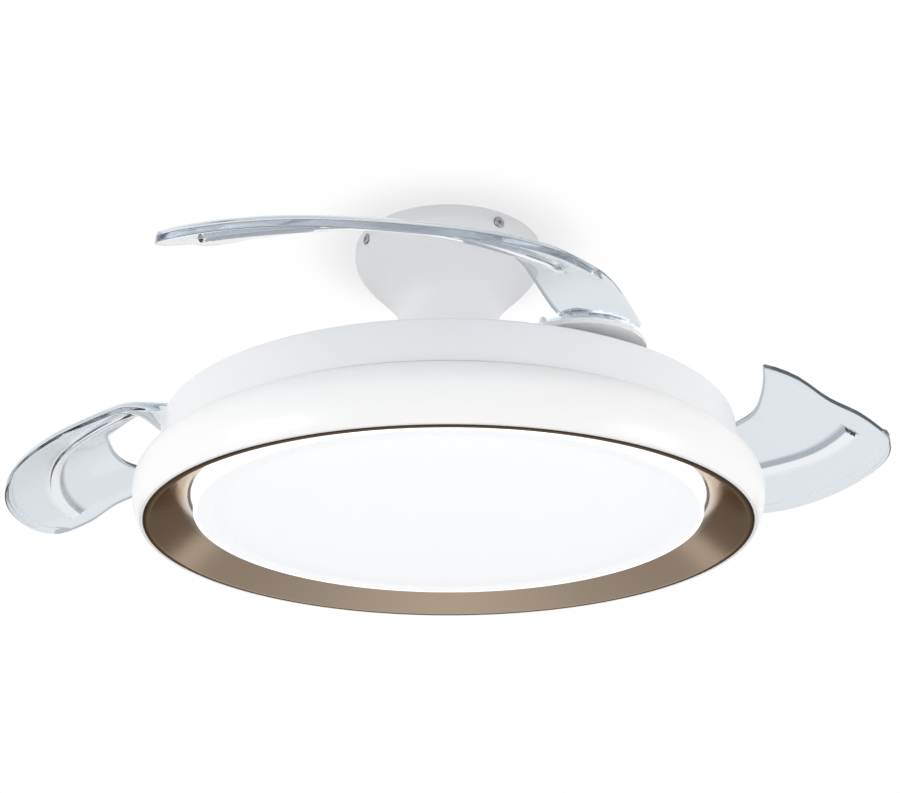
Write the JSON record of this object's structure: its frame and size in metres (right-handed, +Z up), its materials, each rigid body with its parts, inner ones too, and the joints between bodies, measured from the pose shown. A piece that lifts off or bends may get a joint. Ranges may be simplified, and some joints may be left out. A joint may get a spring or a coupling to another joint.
{
  "type": "retractable blade ceiling fan",
  "caption": "Flush ceiling fan with a bell canopy, round drum lamp and clear curved blades that fold in over the lamp.",
  "frame": {"origin": "centre of the ceiling plate's top face, where the fan meets the ceiling", "axes": "+Z up into the ceiling, so the fan hangs down from z = 0; the picture is taken from the -Y side; +X is to its right"},
  "size_m": [0.791, 0.6232, 0.268],
  "materials": {
    "white_enamel": "smooth satin white enamel",
    "bronze_finish": "warm bronze metallic coating, polished",
    "opal_plastic": "milky translucent white, lit from behind",
    "clear_blade": "clear, faintly blue-grey, polished faces",
    "zinc_steel": "zinc plated",
    "bright_steel": "nickel plated",
    "spring_steel": "drawn spring wire",
    "cast_aluminium": "as cast, lightly blasted",
    "carrier_white": "white powder coat",
    "lamination_steel": "stacked sheets, varnished",
    "copper_wire": "enamelled copper wire",
    "magnet_grey": "sintered, dark grey",
    "nylon": "unfilled nylon",
    "controller_case": "fine moulded grain, pale grey",
    "driver_case": "folded sheet case, pale grey",
    "board_white": "white solder mask on an aluminium core board"
  },
  "bodies": {
    "ceiling_unit": {"ceiling_bracket": "zinc_steel", "canopy": "white_enamel", "hollow_shaft": "zinc_steel", "shaft_top_nut": "zinc_steel", "shaft_bottom_nut": "zinc_steel", "terminal_block": "nylon", "motor_controller": "controller_case", "canopy_screw_1": "bright_steel", "canopy_screw_2": "bright_steel", "canopy_screw_3": "bright_steel", "canopy_screw_4": "bright_steel", "stator_core": "lamination_steel", "winding_upper": "copper_wire", "winding_lower": "copper_wire", "lower_bearing_inner": "bright_steel", "upper_bearing_inner": "bright_steel", "lamp_tray": "white_enamel", "shade_ring": "white_enamel", "trim_ring": "bronze_finish", "diffuser": "opal_plastic", "led_board": "board_white", "led_driver": "driver_case", "shade_screw_1": "zinc_steel", "shade_screw_2": "zinc_steel", "shade_screw_3": "zinc_steel"},
    "rotor": {"rotor_cup": "cast_aluminium", "rotor_cover": "cast_aluminium", "magnet_ring": "magnet_grey", "lower_bearing_outer": "bright_steel", "upper_bearing_outer": "bright_steel", "blade_carrier": "carrier_white", "carrier_screw_1": "zinc_steel", "carrier_screw_2": "zinc_steel", "carrier_screw_3": "zinc_steel", "pivot_bolt_1": "zinc_steel", "pivot_bolt_2": "zinc_steel", "pivot_bolt_3": "zinc_steel"},
    "blade_arm_1": {"blade_1": "clear_blade", "blade_hub_1": "carrier_white", "blade_clamp_1": "carrier_white", "pivot_bush_1": "nylon", "return_spring_1": "spring_steel", "blade_screw_1a": "zinc_steel", "blade_screw_1b": "zinc_steel"},
    "blade_arm_2": {"blade_2": "clear_blade", "blade_hub_2": "carrier_white", "blade_clamp_2": "carrier_white", "pivot_bush_2": "nylon", "return_spring_2": "spring_steel", "blade_screw_2a": "zinc_steel", "blade_screw_2b": "zinc_steel"},
    "blade_arm_3": {"blade_3": "clear_blade", "blade_hub_3": "carrier_white", "blade_clamp_3": "carrier_white", "pivot_bush_3": "nylon", "return_spring_3": "spring_steel", "blade_screw_3a": "zinc_steel", "blade_screw_3b": "zinc_steel"}
  },
  "joints": [
    {"name": "rotor_spin", "type": "hinge", "parent": "ceiling_unit", "child": "rotor", "pos_m": [0, 0, -0.17], "axis": [0, 0, 1], "continuous": true},
    {"name": "blade_fold_1", "type": "hinge", "parent": "rotor", "child": "blade_arm_1", "pos_m": [0.095, 0.16454, -0.171], "axis": [0, 0, 1], "range_deg": [-42.2, 51.8], "stiffness_Nm_per_rad": 0.3, "springref_deg": -42.2},
    {"name": "blade_fold_2", "type": "hinge", "parent": "rotor", "child": "blade_arm_2", "pos_m": [-0.19, 0, -0.171], "axis": [0, 0, 1], "range_deg": [-82.7, 11.3], "stiffness_Nm_per_rad": 0.3, "springref_deg": -82.7},
    {"name": "blade_fold_3", "type": "hinge", "parent": "rotor", "child": "blade_arm_3", "pos_m": [0.095, -0.16454, -0.171], "axis": [0, 0, 1], "range_deg": [-45, 49], "stiffness_Nm_per_rad": 0.3, "springref_deg": -45}
  ]
}
